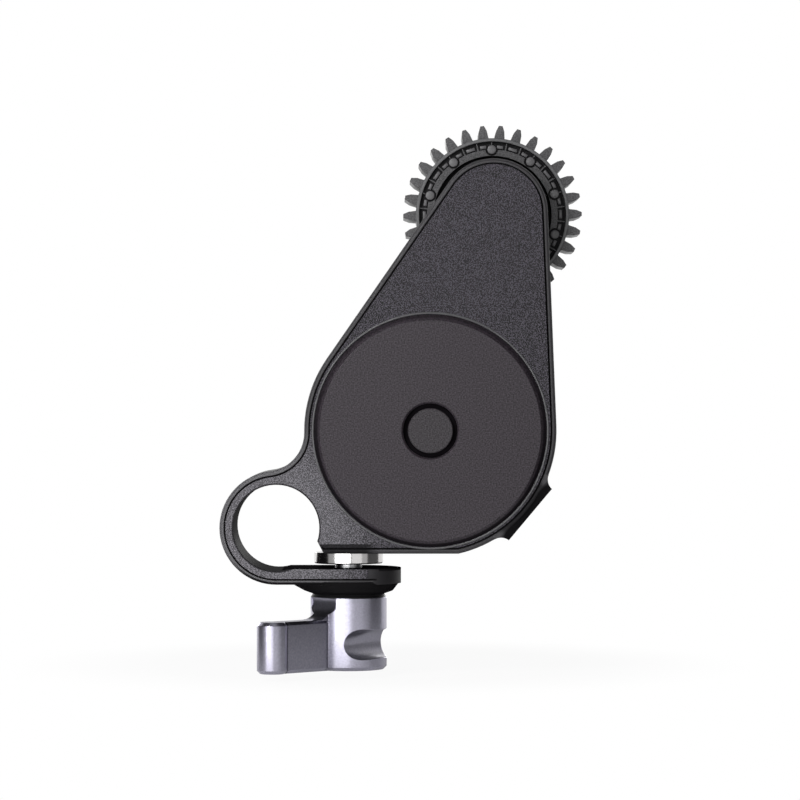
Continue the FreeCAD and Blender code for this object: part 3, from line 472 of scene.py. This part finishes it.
def blasted_housing():
    """Black coat: a grainy raised face, a satin rim round it, dull sides, painted light near the clamp
    ring, and painted shade in recesses and underneath.
    """
    f = Finish("blasted_housing")
    face = 1 - f.y.step(*FACE_EDGE_Y)
    rim = (1 - f.y.step(*RIM_FOOT_Y)) * (1 - face)
    grain = f.noise(per_mm=6.6, detail=0)
    grit = f.cells(per_mm=5.6)
    satin = f.noise(per_mm=5.0)
    wear = f.noise(per_mm=0.09)
    # painted light: face and rim made lighter towards the clamp ring
    painted_light = 1 - radius(ROD_AXIS, f.x, f.z).step(*PAINTED_LIGHT_R)
    sides = f.blend(wear, *SIDE_BLACK)
    satin_rim = f.shade(f.blend(painted_light, *RIM_BLACK), satin * 0.5 + 0.75)
    sparkle = grain.step(*GRAIN_EDGE) * (SPARKLE - painted_light * SPARKLE_UNDER_PAINTED_LIGHT)
    sand = f.shade(f.blend(painted_light, *SAND_BLACK), sparkle + painted_light * PAINTED_LIGHT_LIFT + SAND_LOWEST)
    colour = f.blend(face, f.blend(rim, sides, satin_rim), sand)
    f.varied(colour, face * FACE_ROUGHER + satin.about(0.42, 0.10))
    height = face * (grain + grit * 0.4) + (1 - face) * satin * 0.05
    f.relief(height, depth=0.09, edge=0.12, strength=0.8)
    f.plain(Specular_IOR_Level=0.30)
    # paints shade into the housing's recesses and undersides, and darkens the port pad
    f.paint_shade_where(housing_painted_shade(f, face, rim), HOUSING_SHADE_BLACK)
    return f.done()


def moulded_drum():
    """Black drum and rear cover with a fine, even grain."""
    f = Finish("moulded_drum")
    grain = f.noise(per_mm=6.5)
    tone = f.noise(per_mm=0.12)
    f.varied(f.shade(f.blend(tone, *SIDE_BLACK), grain * 0.6 + 0.7), grain.about(0.40, 0.16))
    f.relief(grain, depth=0.018, edge=0.12)
    f.plain(Specular_IOR_Level=0.4)
    return f.done()


def matte_cap(name, tone):
    """Soft touch lacquer with a fine grain, with painted shade in the button's gap and on the bevel,
    stronger low down.
    """
    f = Finish(name)
    grain = f.noise(per_mm=5.0, detail=0)
    cloud = f.noise(per_mm=0.07)
    reach = radius(CAP_AXIS, f.x, f.z)
    # painted shade: the button's gap, and the bevel darker low down than up top
    gap = reach.band(*BUTTON_GAP_R, soft=0.04)
    low_side = 1 - (f.z - CAP_AXIS[1]).step(*CAP_BEVEL_FADE_Z) * CAP_BEVEL_FADE
    bevel = reach.step(*CAP_BEVEL_R) * low_side * CAP_BEVEL_SHADE
    lacquer = f.shade(tone, grain.about(1.0, 2.6) + cloud.about(0.0, 0.1))
    f.varied(lacquer, cloud.about(0.52, 0.08) + grain.about(0.0, 0.10))
    f.relief(grain, depth=0.012, edge=0.14)
    f.plain(Specular_IOR_Level=0.3)
    f.paint_shade_where(gap.math("MAXIMUM", bevel), CAP_SHADE_BLACK)
    return f.done()


def gear_painted_shade(f, reach):
    """Painted shade: 1 down in the gear's front recess and in the round moats about its pins."""
    hollow = f.y.band(*GEAR_RECESS_Y, soft=0.15) * (1 - reach.step(*GEAR_RECESS_R))
    angle = (f.z - GEAR_AXIS[1]).math("ARCTAN2", f.x - GEAR_AXIS[0])
    pins_passed = angle * (1 / math.radians(PIN_PITCH)) - FIRST_PIN / PIN_PITCH
    aside = (pins_passed - pins_passed.math("ROUND")) * math.radians(PIN_PITCH)
    to_pin = radius((PIN_REACH, 0), reach * aside.math("COSINE"), reach * aside.math("SINE"))
    moat = (1 - to_pin.step(*MOAT_R)) * (1 - f.y.step(*MOAT_Y))
    return hollow.math("MAXIMUM", moat)


def gear_polymer():
    """Glass filled gear polymer: flow marks, teeth lighter towards their tips, and painted shade in the
    recesses.
    """
    f = Finish("gear_polymer")
    reach = radius(GEAR_AXIS, f.x, f.z)
    flow = f.noise(per_mm=1.1, detail=3)
    speck = f.noise(per_mm=5.5)
    tip = reach.step(*TOOTH_R)
    polymer = f.blend(tip * 0.5, f.blend(flow, *GEAR_BLACK), TOOTH_BLACK)
    speckled = f.shade(polymer, speck.step(0.3, 0.7) * 1.3 + 0.35)
    f.varied(speckled, speck.about(0.42, 0.18) - tip * 0.05)
    f.relief(speck * 0.6 + flow, depth=0.015)
    f.plain(Specular_IOR_Level=0.4)
    # paints shade into the front recess and the pin moats
    f.paint_shade_where(gear_painted_shade(f, reach) * GEAR_RECESS_SHADE, GEAR_SHADE_BLACK)
    return f.done()


def light_toned_trim(name, tone):
    """Small raised details, a little lighter in tone than what carries them."""
    f = Finish(name)
    speck = f.noise(per_mm=4.5)
    f.varied(f.shade(tone, speck * 0.8 + 0.6), speck.about(0.38, 0.16))
    f.relief(speck, depth=0.012, edge=0.05)
    f.plain(Specular_IOR_Level=0.45)
    return f.done()


def blasted_alloy():
    """Bead blasted aluminium, grey violet, with painted shade on the wing's seam and web, at the hub's
    corner and in the dimple.
    """
    f = Finish("blasted_alloy")
    bead = f.noise(per_mm=3.6)
    fine = f.noise(per_mm=9.0)
    cloud = f.noise(per_mm=0.15)
    out = f.x - LEVER_AXIS_X
    along_wing = towards(WING_TURN, out, f.y)
    seam = along_wing.band(*BULB_SEAM, soft=0.10)
    web = along_wing.band(*WING_WEB, soft=0.15)
    corner = along_wing.band(*HUB_CORNER, soft=0.4)
    dimple = 1 - radius(DIMPLE_AXIS, towards(DIMPLE_TURN, out, f.y), f.z).step(*DIMPLE_WALL_R)
    low = 1 - (f.z - DIMPLE_AXIS[1]).step(*DIMPLE_LOW)
    # painted shade on the wing and in the dimple
    painted_shade_on_wing = seam * SEAM_SHADE + web * WEB_SHADE + corner * CORNER_SHADE
    painted_shade_on_hub = dimple * (low * DIMPLE_LOW_SHADE + DIMPLE_SHADE)
    skin = f.shade(f.blend(cloud, *LEVER_VIOLET), bead.about(1.0, 0.45) - (painted_shade_on_wing + painted_shade_on_hub))
    f.varied(skin, fine.about(0.30, 0.08))
    f.relief(bead * 0.5 + fine * 0.5, depth=0.006, edge=0.15)
    f.plain(Metallic=1.0)
    return f.done()


def turned_steel(name, light, rough):
    """Bright steel with the fine rings that turning leaves."""
    f = Finish(name)
    rings = f.noise(per_mm=1.0, detail=3, at=f.stretched(TURNED_RINGS))
    smear = f.noise(per_mm=0.8)
    dim = tuple(SMEARED * part for part in light)
    f.varied(f.blend(smear, dim, light), rings.about(rough, 0.10) + smear.about(0.0, 0.05))
    f.relief(rings, depth=0.002, edge=0.06)
    f.plain(Metallic=1.0)
    return f.done()


def soft_black():
    """Plain matt polymer for the washer."""
    f = Finish("soft_black")
    grain = f.noise(per_mm=7.0)
    f.varied(f.blend(grain, *WASHER_BLACK), grain.about(0.5, 0.15))
    f.relief(grain, depth=0.012)
    f.plain(Specular_IOR_Level=0.25)
    return f.done()


def blackened_steel():
    """Screws with a black oxide finish, worn lighter in places."""
    f = Finish("blackened_steel")
    rub = f.noise(per_mm=2.2, detail=3)
    f.varied(f.blend(rub.step(0.5, 0.8), *SCREW_BLACK), rub * 0.15 + 0.32)
    f.relief(rub, depth=0.004)
    f.plain(Metallic=0.9)
    return f.done()


def train_brass():
    """Machined brass for the inner train."""
    f = Finish("train_brass")
    cut = f.noise(per_mm=1.0, at=f.stretched(BRASS_CUTS))
    tint = f.noise(per_mm=0.5)
    f.varied(f.blend(tint, *BRASS), cut.about(0.28, 0.14))
    f.relief(cut, depth=0.003)
    f.plain(Metallic=1.0)
    return f.done()


def wound_copper():
    """Lacquered copper wire, laid in close turns."""
    f = Finish("wound_copper")
    wire = (f.y * (math.tau / WIRE_PITCH)).math("SINE")
    tint = f.noise(per_mm=1.2)
    f.varied(f.blend(tint, *COPPER), wire * 0.06 + 0.34)
    f.relief(wire, depth=0.05)
    f.plain(Metallic=1.0)
    return f.done()


def plated_magnet():
    """Nickel plated magnets."""
    f = Finish("plated_magnet")
    tint = f.noise(per_mm=0.9, detail=3)
    f.varied(f.blend(tint, *NICKEL), tint.about(0.30, 0.2))
    f.relief(tint, depth=0.005)
    f.plain(Metallic=1.0)
    return f.done()


def board_mask():
    """Green solder mask over copper tracks."""
    f = Finish("board_mask")
    between_tracks = f.cells(0.55, "DISTANCE_TO_EDGE").step(*TRACK_EDGE)
    tint = f.noise(per_mm=0.6)
    f.varied(f.blend(between_tracks, TRACK_GREEN, f.blend(tint, *MASK_GREEN)), tint.about(0.30, 0.1))
    f.relief(1 - between_tracks, depth=0.03)
    return f.done()


def moulded_chip():
    """Epoxy packages and switch bodies."""
    f = Finish("moulded_chip")
    grain = f.noise(per_mm=9.0)
    f.varied(f.blend(grain, *EPOXY_BLACK), grain.about(0.45, 0.2))
    f.relief(grain, depth=0.01)
    return f.done()


def finishes():
    """Each material slot of the record with the finish that it gets."""
    return {
        "housing_black": blasted_housing(),
        "drum_black": moulded_drum(),
        "cap_black": matte_cap("cap_lacquer", CAP_BLACK),
        "button_black": matte_cap("button_lacquer", BUTTON_BLACK),
        "gear_black": gear_polymer(),
        "lever_alloy": blasted_alloy(),
        "polished_steel": turned_steel("polished_steel", INSERT_STEEL, rough=0.16),
        "washer_black": soft_black(),
        "steel": turned_steel("turned_steel", SHAFT_STEEL, rough=0.24),
        "screw_black": blackened_steel(),
        "train_brass": train_brass(),
        "copper": wound_copper(),
        "magnet": plated_magnet(),
        "board_green": board_mask(),
        "chip_black": moulded_chip(),
    }


def dress(nodes, finish_of):
    """Gives each CAD piece the finish of its slot in the record."""
    slots = {part["node"]: part["material_slot"] for part in frame["record"]["subparts"]}
    for name, node in nodes.items():
        if not node.material_slots:
            node.data.materials.append(None)
        for place in node.material_slots:
            place.material = finish_of[slots[name]]


# ---- mesh helpers ----
def mesh_from(bm, name):
    """Ends a bmesh and keeps it as a mesh."""
    mesh = bpy.data.meshes.new(name)
    bm.to_mesh(mesh)
    bm.free()
    return mesh


def placed(name, data):
    """A new object in the scene, at the origin."""
    thing = bpy.data.objects.new(name, data)
    bpy.context.scene.collection.objects.link(thing)
    return thing


def piece_from(bm, name, body, finish, smooth_below=SMOOTH_BELOW):
    """Turns a bmesh into a finished piece that rides on a body."""
    bmesh.ops.recalc_face_normals(bm, faces=bm.faces)
    mesh = mesh_from(bm, name)
    mesh.shade_smooth()
    mesh.set_sharp_from_angle(angle=math.radians(smooth_below))
    mesh.materials.append(finish)
    piece = placed(name, mesh)
    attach(piece, body)


def turned(bm, profile, axis_x, axis_z, steps):
    """Turns a closed outline of (radius, y) pairs about the axis along Y."""
    verts = [bm.verts.new(((axis_x + r) * MM, y * MM, axis_z * MM)) for r, y in profile]
    edges = [bm.edges.new((verts[index - 1], verts[index])) for index in range(len(verts))]
    bmesh.ops.spin(
        bm, geom=verts + edges, cent=(axis_x * MM, 0, axis_z * MM), axis=(0, 1, 0),
        angle=math.tau, steps=steps, use_merge=True)


def round_gear(degrees, reach, y):
    """A place on the gear's front, turned so that its X runs outwards."""
    centre = Matrix.Translation((GEAR_AXIS[0] * MM, y * MM, GEAR_AXIS[1] * MM))
    turn = Matrix.Rotation(-math.radians(degrees), 4, "Y")
    return centre @ turn @ Matrix.Translation((reach * MM, 0, 0))


def block(bm, place, size):
    """A small box of the given size about a place."""
    scale = Matrix.Diagonal((*(side * MM for side in size), 1))
    bmesh.ops.create_cube(bm, size=1, matrix=place @ scale)


def soften(bm, edges, width, segments):
    """Rounds edges off."""
    bmesh.ops.bevel(
        bm, geom=edges, offset=width * MM, segments=segments, profile=0.5,
        affect="EDGES", material=-1)


# ---- housing details ----
def cap_bead(finish):
    """Rounded bead on the raised face, close round the motor cap."""
    bm = bmesh.new()
    foot = RAISED_FACE_Y + SUNK
    wall = RAISED_FACE_Y - BEAD_WALL
    crest = RAISED_FACE_Y - BEAD_RISE
    across, down = BEAD_ROUND
    profile = [
        (BEAD_INNER_R, foot), (BEAD_INNER_R, wall), (BEAD_INNER_R + across, crest + down),
        ((BEAD_INNER_R + BEAD_OUTER_R) / 2, crest),
        (BEAD_OUTER_R - across, crest + down), (BEAD_OUTER_R, wall), (BEAD_OUTER_R, foot)]
    turned(bm, profile, *CAP_AXIS, BEAD_STEPS)
    piece_from(bm, "cap_bead", "housing", finish, BEAD_SMOOTH_BELOW)


# ---- drive gear details ----
def gear_lip(finish):
    """Smooth raised ring between the teeth and the front recess."""
    bm = bmesh.new()
    inner, outer = LIP_R
    across, down = LIP_OUTER_CHAMFER
    foot = GEAR_FRONT_Y + SUNK
    front = GEAR_FRONT_Y - LIP_RISE
    profile = [
        (inner, foot), (inner, front + LIP_INNER_CHAMFER), (inner + LIP_INNER_CHAMFER, front),
        (outer - across, front), (outer, front + down), (outer, foot)]
    turned(bm, profile, *GEAR_AXIS, LIP_STEPS)
    piece_from(bm, "gear_lip", "output", finish)


def gear_pads(finish):
    """A low pad in each cell between two ribs, shorter where a pin stands beside it."""
    bm = bmesh.new()
    for cell in range(GEAR_TEETH):
        width, lean = PAD_WIDTH_AND_LEAN[cell % PIN_EVERY]
        angle = GEAR_PHASE + TOOTH_PITCH * (cell + PIN_EVERY) + lean
        block(bm, round_gear(angle, PAD_REACH, PAD_MIDDLE_Y), (PAD_LENGTH, PAD_DEPTH, width))
    soften(bm, list(bm.edges), PAD_EDGE, 2)
    piece_from(bm, "gear_pads", "output", finish)


def gear_stubs(finish):
    """Thin ends of the ribs that cross the dark ring groove."""
    bm = bmesh.new()
    for rib in range(GEAR_TEETH):
        angle = GEAR_PHASE + TOOTH_PITCH * (rib + 0.5)
        block(bm, round_gear(angle, STUB_REACH, STUB_MIDDLE_Y), STUB_SIZE)
    soften(bm, list(bm.edges), STUB_EDGE, 1)
    piece_from(bm, "gear_stubs", "output", finish)


def gear_pins(finish):
    """Domed ends of the ejector pins, one at every third rib."""
    bm = bmesh.new()
    for pin in range(GEAR_TEETH // PIN_EVERY):
        place = round_gear(FIRST_PIN + PIN_PITCH * pin, PIN_REACH, PIN_MIDDLE_Y)
        bmesh.ops.create_cone(
            bm, cap_ends=True, segments=PIN_SIDES, radius1=PIN_RADIUS * MM, radius2=PIN_RADIUS * MM,
            depth=PIN_DEPTH * MM, matrix=place @ Matrix.Rotation(math.pi / 2, 4, "X"))
    rims = [edge for edge in bm.edges if len(edge.link_faces) == 2 and edge.calc_face_angle(0) > 1]
    soften(bm, rims, PIN_DOME, 3)
    piece_from(bm, "gear_pins", "output", finish)


# ---- studio ----
def aim(thing, place, target):
    """Puts a lamp or card at place, facing target."""
    start = Vector(place) * MM
    thing.location = start
    thing.rotation_euler = (Vector(target) * MM - start).to_track_quat("-Z", "Y").to_euler()


def soft_box(name, place, target, width, height, watts):
    """A flat rectangular lamp."""
    lamp = bpy.data.lights.new(name, "AREA")
    lamp.shape = "RECTANGLE"
    lamp.size = width * MM
    lamp.size_y = height * MM
    lamp.energy = watts
    aim(placed(name, lamp), place, target)


def grey_card(name, place, target, width, height, tone):
    """A large card out of the camera's sight that keeps the bright surround off the part."""
    bm = bmesh.new()
    bmesh.ops.create_grid(bm, x_segments=1, y_segments=1, size=0.5)
    bmesh.ops.scale(bm, verts=bm.verts, vec=(width * MM, height * MM, 1))
    mesh = mesh_from(bm, name)
    material = bpy.data.materials.new(name)
    tree = Tree(material)
    felt = tree.make("ShaderNodeBsdfDiffuse", {}, {"Color": (tone, tone, tone)})
    tree.add("ShaderNodeOutputMaterial", {}, {"Surface": felt})
    mesh.materials.append(material)
    card = placed(name, mesh)
    aim(card, place, target)
    card.visible_camera = False


def white_surround():
    """Dim light from all round, shown as plain white."""
    world = bpy.data.worlds.new("surround")
    bpy.context.scene.world = world
    tree = Tree(world)
    dim = tree.make("ShaderNodeBackground", {}, {"Color": SURROUND_DIM})
    white = tree.make("ShaderNodeBackground", {}, {"Color": WHITE})
    mix = tree.make("ShaderNodeMixShader", {}, {0: tree.shown_to_lens(), 1: dim, 2: white})
    tree.add("ShaderNodeOutputWorld", {}, {"Surface": mix})


def pale_floor():
    """A small round floor under the part. It keeps the soft shadow and fades into the white."""
    bm = bmesh.new()
    bmesh.ops.create_circle(bm, cap_ends=True, segments=FLOOR_SIDES, radius=FLOOR_R * MM)
    bmesh.ops.translate(bm, verts=bm.verts, vec=(FLOOR_X * MM, FLOOR_Y * MM, FLOOR_Z * MM))
    mesh = mesh_from(bm, "floor")
    f = Surface("pale_floor")
    out = radius((FLOOR_X, FLOOR_Y), f.x, f.y).step(*FLOOR_FADE_R)
    paper = f.make("ShaderNodeBsdfDiffuse", {}, {"Color": FLOOR_PAPER})
    glow = f.make("ShaderNodeEmission", {}, {"Color": WHITE})
    seen = f.shown_to_lens(out * (1 - FLOOR_MIRRORED) + FLOOR_MIRRORED)
    share = seen * (out * (1 - FLOOR_WHITE) + FLOOR_WHITE)
    mesh.materials.append(f.ended(f.mixed(share, paper, glow)))
    floor = placed("floor", mesh)


def camera():
    """A long lens straight in front of the part."""
    lens = bpy.data.cameras.new("camera")
    lens.sensor_width = SENSOR_WIDTH
    lens.lens = LENS_LENGTH
    lens.clip_start, lens.clip_end = CLIP_METRES
    view = placed("camera", lens)
    view.location = Vector(CAMERA_PLACE) * MM
    view.rotation_euler = (math.pi / 2, 0, 0)
    bpy.context.scene.camera = view


bpy.context.scene.view_settings.view_transform = "Standard"
camera()
dress(frame["nodes"], finishes())
cap_bead(light_toned_trim("bead_satin", BEAD_BLACK))
pad_trim = light_toned_trim("gear_pad_trim", PAD_BLACK)
gear_lip(light_toned_trim("gear_lip_trim", LIP_BLACK))
gear_pads(pad_trim)
gear_stubs(pad_trim)
gear_pins(light_toned_trim("gear_pin_trim", PIN_BLACK))
for lamp in LAMPS:
    soft_box(*lamp)
for card in CARDS:
    grey_card(*card)
white_surround()
pale_floor()
